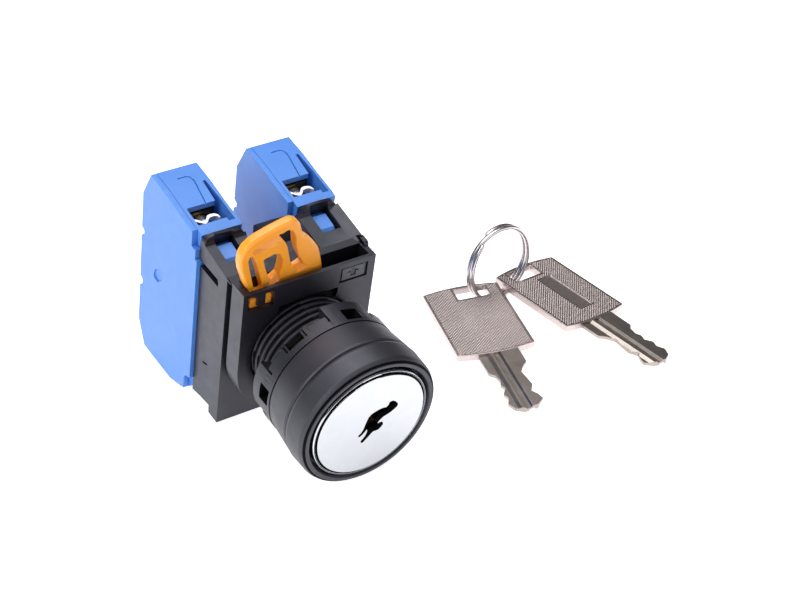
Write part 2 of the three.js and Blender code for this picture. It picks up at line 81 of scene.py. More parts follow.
def lying(at, turns, face_down=False):
    """The frame of a key or ring beside the switch: yaw about Z, roll about its length, pitch."""
    yaw, roll, pitch = (math.radians(a) for a in turns)
    turn = Matrix.Rotation(yaw, 4, "Z") @ Matrix.Rotation(roll, 4, "Y")
    turn = turn @ Matrix.Rotation(pitch, 4, "X")
    if face_down:
        turn = turn @ Matrix.Rotation(math.pi, 4, "Y")
    place = Matrix.Translation((origin.x + at[0] * MM, origin.y + at[1] * MM, at[2] * MM))
    return place @ turn @ Matrix.Scale(MM, 4)


# place and turns of the loose pieces
KEYS = {
    "key_1": lying((48.65, 2.57, 2.75), (-16.13, -2.0, 3.0)),
    "key_2": lying((70.42, 2.36, 2.6), (5.57, 3.0, 3.0), True),
}
RING = lying((60.25, 11.35, 9.03), (8.0, 0.0, -2.0))

# ---------- shape helpers, all in millimetres ----------
PLANES = {
    "XZ": lambda a, b, d: (a, d, b),
    "YZ": lambda a, b, d: (d, a, b),
    "XY": lambda a, b, d: (a, b, d),
}


def as_object(bm, name="tool"):
    """Turns a bmesh into an object with its faces looking outwards."""
    bmesh.ops.remove_doubles(bm, verts=bm.verts, dist=1e-5)
    bmesh.ops.recalc_face_normals(bm, faces=bm.faces)
    mesh = bpy.data.meshes.new(name)
    bm.to_mesh(mesh)
    bm.free()
    obj = bpy.data.objects.new(name, mesh)
    bpy.context.scene.collection.objects.link(obj)
    return obj


def prism(points, plane, span):
    """A plate with this outline in the plane, from span[0] to span[1] across it."""
    place = PLANES[plane]
    bm = bmesh.new()
    low = [bm.verts.new(place(a, b, span[0])) for a, b in points]
    high = [bm.verts.new(place(a, b, span[1])) for a, b in points]
    bm.faces.new(low)
    bm.faces.new(high)
    for i in range(len(points)):
        j = (i + 1) % len(points)
        bm.faces.new((low[i], low[j], high[j], high[i]))
    return as_object(bm)


def block(x, y, z):
    """A box from one span along each axis."""
    return prism([(x[0], y[0]), (x[1], y[0]), (x[1], y[1]), (x[0], y[1])], "XY", z)


def lathe(profile, segments=144, closed=True, radius_at=None):
    """Turns (radius, y) points about the operator axis; radius_at can vary a radius with the angle."""
    bm = bmesh.new()
    rings = []
    for r, y in profile:
        if r < 1e-6:
            rings.append([bm.verts.new((0, y, 0))])
            continue
        ring = []
        for i in range(segments):
            a = 2 * math.pi * i / segments
            q = radius_at(r, y, a) if radius_at else r
            ring.append(bm.verts.new((q * math.cos(a), y, q * math.sin(a))))
        rings.append(ring)
    following = rings[1:] + (rings[:1] if closed else [])
    for one, two in zip(rings, following):
        for i in range(segments):
            j = (i + 1) % segments
            corners = [one[i % len(one)], one[j % len(one)], two[j % len(two)], two[i % len(two)]]
            corners = list(dict.fromkeys(corners))
            if len(corners) > 2:
                bm.faces.new(corners)
    return as_object(bm)


def rounded(points, radius, steps=4):
    """An outline with its corners rounded; radius is one number or one for each corner."""
    out = []
    count = len(points)
    for i, p in enumerate(points):
        r = radius[i] if isinstance(radius, (list, tuple)) else radius
        p = Vector(p)
        a = Vector(points[i - 1]) - p
        b = Vector(points[(i + 1) % count]) - p
        if r <= 0 or a.length < 1e-6 or b.length < 1e-6:
            out.append(tuple(p))
            continue
        half = a.angle(b) / 2
        if half > 1.5 or half < 0.05:
            out.append(tuple(p))
            continue
        reach = min(r / math.tan(half), 0.46 * a.length, 0.46 * b.length)
        r = reach * math.tan(half)
        bisector = (a.normalized() + b.normalized()).normalized()
        centre = p + bisector * (r / math.sin(half))
        start = p + a.normalized() * reach - centre
        end = p + b.normalized() * reach - centre
        sweep = start.angle_signed(end)
        for k in range(steps + 1):
            t = -sweep * k / steps
            c, s = math.cos(t), math.sin(t)
            out.append((centre.x + start.x * c - start.y * s, centre.y + start.x * s + start.y * c))
    return out


def arc(radius, centre, start, end, steps):
    """Points along an arc between two angles in degrees."""
    return [
        (
            centre[0] + radius * math.cos(math.radians(start + (end - start) * i / steps)),
            centre[1] + radius * math.sin(math.radians(start + (end - start) * i / steps)),
        )
        for i in range(steps + 1)
    ]


def disc(radius, span, at=(0, 0), segments=48):
    """A round bar along Y."""
    return prism(arc(radius, at, 0, 360 * (segments - 1) / segments, segments - 1), "XZ", span)


def sector(centre, half, inner, outer, span):
    """A piece of a ring about the operator axis, half degrees to each side of centre."""
    steps = max(2, int(half))
    points = arc(inner, (0, 0), centre - half, centre + half, steps)
    points += arc(outer, (0, 0), centre + half, centre - half, steps)
    return prism(points, "XZ", span)


def bake(obj):
    """Applies the modifiers."""
    bpy.context.view_layer.update()
    deps = bpy.context.evaluated_depsgraph_get()
    mesh = bpy.data.meshes.new_from_object(obj.evaluated_get(deps))
    obj.modifiers.clear()
    old = obj.data
    obj.data = mesh
    bpy.data.meshes.remove(old)
    return obj


def combine(base, tools, operation):
    for tool in tools:
        m = base.modifiers.new("combine", "BOOLEAN")
        m.operation = operation
        m.solver = "EXACT"
        m.object = tool
    bake(base)
    for tool in tools:
        bpy.data.objects.remove(tool)
    return base


def hull(points):
    """The convex hull of some points."""
    bm = bmesh.new()
    for p in points:
        bm.verts.new(p)
    bmesh.ops.convex_hull(bm, input=bm.verts)
    loose = [v for v in bm.verts if not v.link_faces]
    bmesh.ops.delete(bm, geom=loose, context="VERTS")
    return as_object(bm)


def join(base, *tools):
    return combine(base, tools, "UNION")


def cut(base, *tools):
    return combine(base, tools, "DIFFERENCE")


def tidy_mesh(obj, flat=0.4):
    """Merges what lies in one plane, so that only true edges are left to round."""
    bm = bmesh.new()
    bm.from_mesh(obj.data)
    bmesh.ops.remove_doubles(bm, verts=bm.verts, dist=2e-4)
    bmesh.ops.dissolve_degenerate(bm, edges=bm.edges, dist=2e-4)
    bmesh.ops.dissolve_limit(bm, angle_limit=math.radians(flat), verts=bm.verts, edges=bm.edges)
    bm.to_mesh(obj.data)
    bm.free()
    return obj


def soften(obj, width, segments=2, angle=28):
    """Rounds every edge sharper than angle."""
    m = obj.modifiers.new("round", "BEVEL")
    m.width = width
    m.segments = segments
    m.limit_method = "ANGLE"
    m.angle_limit = math.radians(angle)
    m.use_clamp_overlap = True
    m.miter_outer = "MITER_ARC"
    return bake(obj)


def place(obj, name, where, look, body, slot, replaces=(), others=()):
    """Carries a finished shape into the row's frame and gives it its looks and its body; slot is not used."""
    obj.name = name
    obj.data.name = name
    obj.data.transform(where)
    obj.data.materials.clear()
    for material in (look, *others):
        obj.data.materials.append(material)
    obj.data.shade_smooth()
    m = obj.modifiers.new("normals", "WEIGHTED_NORMAL")
    m.mode = "FACE_AREA"
    m.weight = 80
    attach(obj, body)
    if replaces:
        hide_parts(*replaces)
    return obj


def dress_faces(obj, where, test, index=1):
    """Gives the faces whose middle passes the test another of the piece's looks."""
    low = where.inverted()
    for face in obj.data.polygons:
        if test(low @ face.center):
            face.material_index = index


def from_axis(c):
    """A point's distance from the operator axis."""
    return math.hypot(c.x, c.z)


# ---------- materials ----------
def shader(name):
    """A new material, its node tree and its Principled node."""
    material = bpy.data.materials.new(name)
    material.use_nodes = True
    tree = material.node_tree
    return material, tree, tree.nodes["Principled BSDF"]


def noise(tree, place_out, scale, detail, rough=0.55):
    node = tree.nodes.new("ShaderNodeTexNoise")
    node.inputs["Scale"].default_value = scale
    node.inputs["Detail"].default_value = detail
    node.inputs["Roughness"].default_value = rough
    tree.links.new(place_out, node.inputs["Vector"])
    return node.outputs["Fac"]


def spread(tree, value, low, high):
    """Stretches the middle half of a noise to low ... high."""
    node = tree.nodes.new("ShaderNodeMapRange")
    node.inputs["From Min"].default_value = 0.25
    node.inputs["From Max"].default_value = 0.75
    node.inputs["To Min"].default_value = low
    node.inputs["To Max"].default_value = high
    tree.links.new(value, node.inputs["Value"])
    return node.outputs["Result"]


def mix_colour(tree, value, one, two):
    node = tree.nodes.new("ShaderNodeMix")
    node.data_type = "RGBA"
    node.inputs["A"].default_value = (*one, 1)
    node.inputs["B"].default_value = (*two, 1)
    tree.links.new(value, node.inputs["Factor"])
    return node.outputs["Result"]


def bump(tree, bsdf, heights):
    """heights is a list of (value, strength, distance in metres), stacked one on another."""
    last = None
    for value, strength, distance in heights:
        node = tree.nodes.new("ShaderNodeBump")
        node.inputs["Strength"].default_value = strength
        node.inputs["Distance"].default_value = distance
        tree.links.new(value, node.inputs["Height"])
        if last:
            tree.links.new(last, node.inputs["Normal"])
        last = node.outputs["Normal"]
    tree.links.new(last, bsdf.inputs["Normal"])


PLAIN = (1, 1, 1)
DUSK = (0.86, 0.86, 1.0)  # the cool tint of the black plastic's sheen
GLOW_RADIUS = (1.0, 0.5, 0.2)
GLOW_DEPTH = 0.0012


def plastic(name, dark, light, rough, grain=9000, grain_depth=6e-6, specular=0.5, glow=0.0, tint=PLAIN):
    """Moulded plastic: fine spark-eroded grain, slow colour drift, faint rubbed patches."""
    material, tree, bsdf = shader(name)
    at = tree.nodes.new("ShaderNodeTexCoord").outputs["Object"]
    drift = spread(tree, noise(tree, at, scale=160, detail=4), 0, 1)
    tree.links.new(mix_colour(tree, drift, dark, light), bsdf.inputs["Base Color"])
    rub = noise(tree, at, scale=420, detail=5, rough=0.65)
    tree.links.new(spread(tree, rub, rough - 0.05, rough + 0.06), bsdf.inputs["Roughness"])
    swell = noise(tree, at, scale=260, detail=2)
    sparks = noise(tree, at, scale=grain, detail=2, rough=0.6)
    bump(tree, bsdf, [(swell, 0.25, 2.5e-5), (sparks, 0.55, grain_depth)])
    bsdf.inputs["Specular IOR Level"].default_value = specular
    bsdf.inputs["Specular Tint"].default_value = (*tint, 1)
    if glow:
        bsdf.inputs["Subsurface Weight"].default_value = glow
        bsdf.inputs["Subsurface Radius"].default_value = GLOW_RADIUS
        bsdf.inputs["Subsurface Scale"].default_value = GLOW_DEPTH
    return material


def metal(name, dark, light, rough, stretch=PLAIN, scale=1400, depth=4e-6, spots=0.0):
    """Plated or brushed metal; stretch draws the texture out along the brushing."""
    material, tree, bsdf = shader(name)
    at = tree.nodes.new("ShaderNodeTexCoord").outputs["Object"]
    mapping = tree.nodes.new("ShaderNodeMapping")
    mapping.inputs["Scale"].default_value = stretch
    tree.links.new(at, mapping.inputs["Vector"])
    lines = noise(tree, mapping.outputs["Vector"], scale, detail=4, rough=0.6)
    cloud = noise(tree, at, scale=230, detail=4, rough=0.6)
    tree.links.new(mix_colour(tree, spread(tree, cloud, 0, 1), dark, light), bsdf.inputs["Base Color"])
    tree.links.new(spread(tree, lines, rough * 0.82, rough * 1.2), bsdf.inputs["Roughness"])
    pits = noise(tree, at, scale=5200, detail=2)
    bump(tree, bsdf, [(lines, 0.35, depth), (pits, 0.3, depth * (0.6 + spots))])
    bsdf.inputs["Metallic"].default_value = 1.0
    return material


PLASTICS = {
    "black_plastic": dict(
        dark=(0.0052, 0.0052, 0.0088), light=(0.0095, 0.009, 0.014), rough=0.42,
        grain_depth=3e-6, specular=0.56, tint=DUSK,
    ),
    # near-black with little sheen: painted shade, laid on the faces of grooves, notches, recesses and seams
    "black_painted_shade": dict(
        dark=(0.0012, 0.0012, 0.0016), light=(0.002, 0.002, 0.0026), rough=0.7,
        grain_depth=3e-6, specular=0.1,
    ),
    "black_worn": dict(
        dark=(0.045, 0.045, 0.055), light=(0.065, 0.065, 0.078), rough=0.42,
        grain_depth=3e-6, tint=DUSK,
    ),
    "black_bezel": dict(
        dark=(0.011, 0.0105, 0.0145), light=(0.015, 0.0145, 0.0195), rough=0.46,
        grain=12000, grain_depth=2e-6, specular=0.62, tint=DUSK,
    ),
    "blue_plastic": dict(
        dark=(0.056, 0.205, 0.62), light=(0.066, 0.225, 0.67), rough=0.42,
        grain=8000, grain_depth=3e-6, glow=0.05,
    ),
    # dark blue: painted shade for the faces deep inside the wire pockets
    "blue_painted_shade": dict(
        dark=(0.010, 0.036, 0.125), light=(0.013, 0.045, 0.15), rough=0.5,
        grain=8000, grain_depth=3e-6, specular=0.25,
    ),
    "orange_plastic": dict(
        dark=(0.84, 0.30, 0.018), light=(0.90, 0.35, 0.03), rough=0.30,
        grain=8000, grain_depth=2e-6, glow=0.10,
    ),
    "white_plastic": dict(dark=(0.74, 0.74, 0.70), light=(0.83, 0.83, 0.80), rough=0.45),
    "rubber": dict(
        dark=(0.006, 0.006, 0.007), light=(0.012, 0.012, 0.013), rough=0.75,
        grain=5000, grain_depth=1e-5,
    ),
}
METALS = {
    "chrome": dict(dark=(0.50, 0.51, 0.535), light=(0.53, 0.54, 0.565), rough=0.07, scale=900, depth=2e-7),
    "ring_chrome": dict(dark=(0.56, 0.52, 0.52), light=(0.66, 0.62, 0.62), rough=0.28, scale=900, depth=1e-6),
    "zinc": dict(
        dark=(0.30, 0.30, 0.31), light=(0.42, 0.42, 0.43), rough=0.42, scale=1200, depth=8e-6, spots=1.0,
    ),
    "steel": dict(dark=(0.80, 0.77, 0.79), light=(0.92, 0.89, 0.92), rough=0.26, depth=3e-6),
    "clamp_steel": dict(dark=(0.86, 0.83, 0.86), light=(0.95, 0.92, 0.95), rough=0.48, depth=1e-6),
    # brass darkened far below its own colour: painted shade, so that the contacts read dark inside the blocks
    "copper_alloy": dict(
        dark=(0.10, 0.065, 0.03), light=(0.17, 0.11, 0.05), rough=0.34, depth=5e-6, spots=0.5,
    ),
    # brass darkened to near black: painted shade for the inside of the keyway
    "plug_painted_shade": dict(
        dark=(0.012, 0.008, 0.006), light=(0.035, 0.022, 0.014), rough=0.38, depth=6e-6, spots=1.0,
    ),
    "nickel": dict(
        dark=(0.50, 0.425, 0.41), light=(0.58, 0.495, 0.475), rough=0.29, stretch=(0.3, 4, 1), scale=900,
    ),
    "nickel_knurl": dict(
        dark=(0.36, 0.305, 0.292), light=(0.42, 0.36, 0.345), rough=0.36, scale=900, depth=3e-6,
    ),
    "nickel_blade": dict(
        dark=(0.30, 0.262, 0.238), light=(0.42, 0.368, 0.33), rough=0.34,
        stretch=(5, 0.3, 1), scale=900, depth=5e-6,
    ),
    "nickel_matt": dict(
        dark=(0.21, 0.178, 0.165), light=(0.26, 0.222, 0.21), rough=0.5, scale=2400, depth=6e-6, spots=1.0,
    ),
}
LOOKS = {name: plastic(name, **look) for name, look in PLASTICS.items()}
LOOKS.update({name: metal(name, **look) for name, look in METALS.items()})
# the painted shade, as an extra look for pieces that have faces in shade
PAINTED_SHADE = (LOOKS["black_painted_shade"],)


# ---------- key operator ----------
KEYWAY = [
    (3.73, 4.33), (4.29, 4.27), (4.91, 3.83), (5.47, 3.08), (5.52, 2.41), (5.06, 2.02), (4.34, 1.55),
    (3.51, 1.16), (2.65, 0.94), (2.04, 0.48), (1.55, 0.0), (1.43, -0.36), (1.82, -0.26), (2.37, -0.28),
    (2.73, -0.78), (2.69, -1.28), (2.31, -1.77), (1.8, -2.14), (1.18, -2.18), (0.73, -2.14), (0.23, -2.54),
    (-0.25, -3.11), (-0.85, -3.63), (-1.34, -4.15), (-1.72, -4.11), (-1.96, -3.6), (-1.47, -3.09),
    (-1.01, -2.38), (-0.76, -1.58), (-0.85, -0.89), (-1.24, -1.44), (-1.73, -1.93), (-2.28, -2.34),
    (-2.63, -2.12), (-2.59, -1.75), (-2.04, -1.27), (-1.65, -0.53), (-1.39, 0.52), (-1.16, 1.32),
    (-0.84, 2.21), (-0.35, 2.69), (0.38, 3.02), (1.23, 3.24), (2.05, 3.34), (2.89, 3.21), (3.34, 3.6),
    (3.43, 4.13),
]
PLUG_GAP = 0.08  # how much narrower the keyway is in the plug than in the disc


def keyway(span, grow=0.0):
    """The keyway's outline, moved out along its own normals by grow millimetres."""
    points = [Vector(p) for p in KEYWAY]
    moved = []
    for k, p in enumerate(points):
        along = (points[(k + 1) % len(points)] - points[k - 1]).normalized()
        moved.append(tuple(p + Vector((-along.y, along.x)) * grow))
    return prism(moved, "XZ", span)


def in_bezel_groove(c):
    """Whether a point lies in the fine groove of the bezel's lip."""
    return 13.94 < from_axis(c) < 14.3 and -29.68 < c.y < -29.2


def make_bezel():
    """The ring round the face: a lip, a fine groove with painted shade on its faces and a rounded shoulder.
    """
    profile = [
        (12.95, -29.3), (13.2, -29.76), (13.9, -29.8), (13.98, -29.3), (14.25, -29.25), (14.4, -29.35),
        (14.75, -28.5), (14.9, -24.6), (14.78, -24.06), (12.0, -24.06), (12.0, -27.6), (12.72, -27.6),
        (12.72, -28.6),
    ]
    radii = [0.1, 0.15, 0.15, 0.03, 0.03, 0.2, 0.9, 0.3, 0.15, 0.05, 0.05, 0.05, 0.1]
    ring = lathe(rounded(profile, radii, 5), 192)
    place(ring, "bezel", SWITCH, LOOKS["black_bezel"], "switch_body", "black_plastic", ["bezel_ring"], PAINTED_SHADE)
    # painted shade on the faces of the fine groove
    dress_faces(ring, SWITCH, in_bezel_groove)


STEM_BORE = 9.0
THREAD_ROOT = 10.35
THREAD_CREST = 10.9
THREAD_PITCH = 1.5
THREAD_START = -16.6
THREAD_END = -2.4
THREAD_FADE = 0.8  # the length over which the thread runs out
THREAD_STEP = 0.15  # the distance between the points that carry it


def thread_radius(r, y, angle):
    """The helix rides on the points of the stem that lie between start and end."""
    if r > THREAD_ROOT + 0.15 or r < THREAD_ROOT - 0.15 or not THREAD_START < y < THREAD_END:
        return r
    phase = (y / THREAD_PITCH - angle / (2 * math.pi)) % 1.0
    height = min(1.0, max(0.0, (0.5 - abs(phase - 0.5)) * 4 - 0.35))
    fade = min(1.0, (y - THREAD_START) / THREAD_FADE, (THREAD_END - y) / THREAD_FADE)
    return THREAD_ROOT + (THREAD_CREST - THREAD_ROOT) * height * max(0.0, fade)


def in_thread_root(c):
    """Whether a point lies at the bottom of the thread."""
    return 10.2 < from_axis(c) < 10.62 and -16.9 < c.y < -2.2


def make_operator():
    """The flange behind the bezel and the threaded stem, in one profile."""
    head = [
        (STEM_BORE, -23.85), (14.35, -23.85), (14.62, -23.6), (14.72, -23.2), (14.1, -17.07), (12.75, -17.07),
        (12.75, -17.8), (11.2, -17.8), (11.2, -17.07), (THREAD_ROOT, -17.07),
    ]
    profile = rounded(head, [0, 0.1, 0.2, 0.3, 0.18, 0.1, 0, 0, 0, 0], 4)
    y = -16.9
    while y < -2.3:
        profile.append((THREAD_ROOT, y))
        y += THREAD_STEP
    profile += [(THREAD_ROOT, -1.9), (10.1, -1.62), (STEM_BORE, -1.62)]
    body = lathe(profile, 144, True, thread_radius)
    place(body, "operator", SWITCH, LOOKS["black_bezel"], "switch_body", "black_plastic",
          ["operator_body"], PAINTED_SHADE)
    # painted shade at the bottom of the thread, so that the crests stand out
    dress_faces(body, SWITCH, in_thread_root)


DISC_BACK = -27.9


def in_disc_shade(c):
    """Whether a point lies in the ring groove or on the keyway's walls, the faces that get painted shade."""
    ring_groove = 11.55 < from_axis(c) < 11.98 and c.y > DISC_FRONT + 0.12
    keyway_wall = from_axis(c) < 7 and DISC_FRONT + 0.05 < c.y <= DISC_BACK - 0.05
    return ring_groove or keyway_wall


def make_disc():
    """The bright disc of the face, with the keyway cut through it."""
    profile = [
        (0, DISC_FRONT), (11.5, DISC_FRONT), (11.6, -30.0), (11.62, -29.4), (11.95, -29.4), (12.0, -29.85),
        (12.25, -29.85), (12.42, -29.6), (12.45, DISC_BACK), (0, DISC_BACK),
    ]
    face = lathe(rounded(profile, [0, 0.1, 0.05, 0.02, 0.02, 0.06, 0.1, 0.15, 0.1, 0], 2), 192, False)
    cut(face, keyway((-31, -26)))
    tidy_mesh(face, 0.1)
    place(face, "key_face", SWITCH, LOOKS["chrome"], "key_rotor", "chrome", ["face_disc"], PAINTED_SHADE)
    # painted shade in the ring groove and on the keyway's walls
    dress_faces(face, SWITCH, in_disc_shade)


def make_plug():
    """The lock's plug, with two ribs that stand into its keyway."""
    plug = disc(7.2, (-27.88, -1.3), segments=96)
    cut(plug, keyway((-30, -9.0), -PLUG_GAP), disc(1.5, (-5.2, 0), segments=24))
    lower_rib = [(-1.3, -0.6), (-0.2, -0.9), (0.1, -0.3), (-1.2, 0.2)]
    upper_rib = [(1.9, 2.4), (2.8, 2.9), (2.6, 3.6), (1.7, 3.6)]
    join(
        plug,
        prism(rounded(lower_rib, 0.12), "XZ", (-27.0, -10)),
        prism(rounded(upper_rib, 0.12), "XZ", (-26.0, -10)),
    )
    tidy_mesh(plug)
    # the plug's near-black look is painted shade inside the keyway
    place(plug, "plug", SWITCH, LOOKS["plug_painted_shade"], "key_rotor", "copper_alloy", ["lock_plug"])


# ---------- locking ring nut ----------
NUT_PLACES = 7
NUT_FIRST = 75
NUT_WINDOWS = (0, 2, 4)
NUT_OUTER = 14.2
NUT_BORE = 11.25
NUT_FRONT, NUT_REAR = -16.95, -13.9
PAD_INNER = 11.5
NOTCH_HALF = 7.5
NOTCH_FLOOR = 12.35
BEYOND = 15.5  # a radius outside the nut, for the tools that cut it


def nut_place(i):
    """The angle of a window or notch, in degrees."""
    return NUT_FIRST + i * 360 / NUT_PLACES


def in_notch(c):
    """Whether a point lies inside one of the nut's windows or notches."""
    turn = math.degrees(math.atan2(c.z, c.x))
    off = min(abs((turn - NUT_FIRST - i * 360 / NUT_PLACES + 180) % 360 - 180) for i in range(NUT_PLACES))
    return off < NOTCH_HALF + 0.25 and from_axis(c) < NUT_OUTER - 0.3 and -16.4 < c.y < -12.55


def make_nut():
    """A ring with four open notches and three windows between taller pads."""
    nut = lathe([
        (NUT_BORE, NUT_FRONT), (NUT_OUTER, NUT_FRONT), (NUT_OUTER, NUT_REAR), (NUT_BORE, NUT_REAR),
    ], 160)
    pads, tools = [], []
    for i in range(NUT_PLACES):
        centre = nut_place(i)
        if i in NUT_WINDOWS:
            pads.append(sector(centre, 20, PAD_INNER, NUT_OUTER, (-14.1, -11.2)))
            tools.append(sector(centre, NOTCH_HALF, 12.15, BEYOND, (-16.35, -13.4)))
            for edge in (-20.8, 20.8):
                tools.append(sector(centre + edge, 1.0, 13.35, BEYOND, (-15.35, -11)))
        else:
            for edge in (-11, 11):
                pads.append(sector(centre + edge, 3.0, PAD_INNER, NUT_OUTER, (-14.1, -13.2)))
            tools.append(sector(centre, NOTCH_HALF, NOTCH_FLOOR, BEYOND, (-15.6, -12)))
            for edge in (-9.6, 9.6):
                tools.append(sector(centre + edge, 0.7, 13.3, BEYOND, (-15.5, -13)))
    join(nut, *pads)
    cut(nut, *tools)
    tidy_mesh(nut)
    soften(nut, 0.1, 2, 35)
    place(nut, "ring_nut", SWITCH, LOOKS["black_plastic"], "ring_nut", "black_plastic",
          ["locking_ring"], PAINTED_SHADE)
    # painted shade on the faces inside the windows and notches
    dress_faces(nut, SWITCH, in_notch)
    # near-black blocks on the notches' floors: painted shade seen through the notches
    notches = [i for i in range(NUT_PLACES) if i not in NUT_WINDOWS]
    floors = join(*(
        sector(nut_place(i), 8.5, PAD_INNER, NOTCH_FLOOR - 0.05, (-14.0, -12.6)) for i in notches
    ))
    place(floors, "ring_nut_painted_shade_floors", SWITCH, LOOKS["black_painted_shade"], "ring_nut", "black_plastic")


# ---------- mounting adapter ----------
ADAPTER_HALF = 14.6
BOSS_CENTRE = -1.3
CLIP = [
    (-1.3, 13.6), (3.0, 13.6), (3.4, 14.6), (10.3, 14.6), (10.4, 19.2), (9.9, 20.6), (9.1, 20.6),
    (8.7, 18.7), (0.3, 17.3), (-1.3, 17.1),
]
CLIP_TRIMS = (
    [(5.7, 17.4), (6.8, 18.5), (7.3, 19.6), (8.2, 20.3), (11.5, 20.45), (13.6, 19.9), (14.7, 18.8),
     (14.7, 22), (5.7, 22)],
    [(-14.7, 18.4), (-14.3, 19.5), (-13.6, 20.1), (-12.4, 20.3), (-7.2, 19.9), (-6.3, 19.4), (-5.7, 18.4),
     (-5.7, 22), (-14.7, 22)],
)
SIGHT_HOLES = [
    (-13.4, 13.3), (-7.7, 13.3), (-7.7, 16.6), (-9.7, 16.6), (-9.7, 14.0), (-11.3, 14.0), (-11.3, 16.6),
    (-13.4, 16.6),
]
LATCH_HALF = 2.05  # half the width of a window for a block's latch


def boss_outline(half, top):
    """Round below, square above."""
    return arc(half, (0, BOSS_CENTRE), 180, 360, 48) + [(half, top), (-half, top)]


def adapter_body():
    """The housing, its boss, the two clips with their wedge and ear, and the middle tab."""
    side = [
        (0, -19.8), (3.3, -19.8), (3.4, -17.9), (6.8, -18.4), (9.9, -19.0), (9.9, 13.0), (3.1, 13.0),
        (3.0, 16.3), (0, 16.3),
    ]
    body = prism(side, "YZ", (-ADAPTER_HALF, ADAPTER_HALF))
    adds = [prism(boss_outline(14.45, 17.5), "XZ", (-5.85, 0.2))]
    clip = rounded(CLIP, [0, 0, 0, 0, 0.3, 0.5, 0.3, 0.9, 0.2, 0])
    for span in ((-ADAPTER_HALF, -5.8), (5.8, ADAPTER_HALF)):
        adds.append(prism(clip, "YZ", span))
    tab = [(-1.3, 14), (3.2, 12.5), (10.3, 12.9), (10.5, 18.6), (8.4, 19.2), (6.6, 15.6)]
    adds.append(prism(tab, "YZ", (-3.1, 3.4)))
    rim = [(-1.2, 17.1), (0.6, 17.4), (8.7, 18.5)]
    wedge = [(12.0, y, z - 0.2) for y, z in rim] + [(ADAPTER_HALF, y, z + 1.0) for y, z in rim]
    wedge += [(x, y, z - 2.5) for x in (ADAPTER_HALF, 12.0) for y, z in rim]
    adds.append(hull(wedge))
    ear = rounded([(-2.9, 16), (0.2, 16), (0.4, 17.9), (-1.0, 18.5), (-2.9, 18.3)], [0, 0, 0.6, 0.9, 0.7])
    adds.append(prism(ear, "YZ", (13.6, ADAPTER_HALF)))
    return join(body, *adds)


def adapter_tools():
    """What is cut out of the housing."""
    countersink = lathe([(0, -6.6), (15.19, -6.6), (11.15, -5.21), (0, -5.21)], 96, False)
    seam = prism(boss_outline(15.6, 16.9), "XZ", (-1.6, -0.02))
    cut(seam, prism(boss_outline(13.4, 18), "XZ", (-2, 1)))
    tools = [
        # the stem's bore, the plug's hole and the seat of the lever's ring
        disc(11.25, (-7, -1.5), segments=96),
        disc(8.95, (-3, 1), segments=64),
        disc(12.75, (-4.6, -1.6), segments=96),
        # the trough that the lever swings in
        block((-13.1, 13.3), (-5.05, -1.6), (12.6, 20)),
        block((-13.1, 13.3), (-4.6, -1.6), (7, 20)),
        # the hollow behind
        disc(12.75, (0.3, 12), segments=96),
        countersink,
        seam,
        # the notch above the stem and the recess for the plate
        block((-6.5, 6.5), (-7, -4.95), (8, 12.2)),
        block((6.6, 12.8), (-7, -5.5), (13.0, 16.4)),
        prism(SIGHT_HOLES, "XZ", (-7, -4)),
        # a slit in the left side
        prism(rounded([(4.8, -8.55), (6.5, -9.2), (7.0, -8.9), (5.2, -8.2)], 0.15), "YZ", (-16, -14.2)),
    ]
    tools += [prism(outline, "XZ", (8.8, 11)) for outline in CLIP_TRIMS]
    for sign in (-1, 1):
        middle = sign * BLOCK_SPACING / 2
        left, right = middle - LATCH_HALF, middle + LATCH_HALF
        window = [(left, 3.6), (right, 3.6), (right, 9.3), (left, 9.3)]
        tools.append(prism(rounded(window, 0.25), "XY", (14.8, 22)))
        hole = [(left, 14.8), (right, 14.8), (right, 18.9), (left, 18.9)]
        tools.append(prism(rounded(hole, [0, 0, 0.4, 0.4]), "XZ", (8.0, 9.75)))
        tools.append(block((left, right), (9.0, 12), (14.8, 17.4)))
    return tools


def on_plate(c):
    """Whether a point lies on the raised plate with the arrow."""
    return 7.1 < c.x < 12.3 and 13.3 < c.z < 16.1 and -5.7 < c.y < -5.6


def in_stem_notch(c):
    """Whether a point lies in the notch above the stem."""
    return abs(c.x) < 6.6 and 7.9 < c.z < 12.3 and -5.8 < c.y < -4.0


def in_seam(c):
    """Whether a point lies in the seam behind the boss."""
    within = max(abs(c.x), BOSS_CENTRE - c.z) < 14.3 and -1.65 < c.y < -0.1
    return within and math.hypot(c.x, c.z - BOSS_CENTRE) > 12.9


def make_adapter():
    """The black housing, with its raised plate and arrow."""
    body = adapter_body()
    cut(body, *adapter_tools())
    plate = [(7.2, 13.35), (12.2, 13.35), (12.2, 16.05), (7.2, 16.05)]
    join(body, prism(rounded(plate, 0.2), "XZ", (-5.68, -5.4)))
    arrow = [(9.1, 13.9), (10.3, 13.9), (10.3, 14.9), (11.1, 14.9), (9.7, 15.8), (8.3, 14.9), (9.1, 14.9)]
    cut(body, prism(arrow, "XZ", (-6, -5.52)))
    tidy_mesh(body)
    soften(body, 0.16, 2, 35)
    place(body, "adapter", SWITCH, LOOKS["black_plastic"], "switch_body", "black_plastic",
          ["mounting_adapter"], (LOOKS["black_worn"], LOOKS["black_painted_shade"]))
    dress_faces(body, SWITCH, on_plate)
    # painted shade in the notch above the stem and in the seam behind the boss
    dress_faces(body, SWITCH, in_stem_notch, 2)
    dress_faces(body, SWITCH, in_seam, 2)


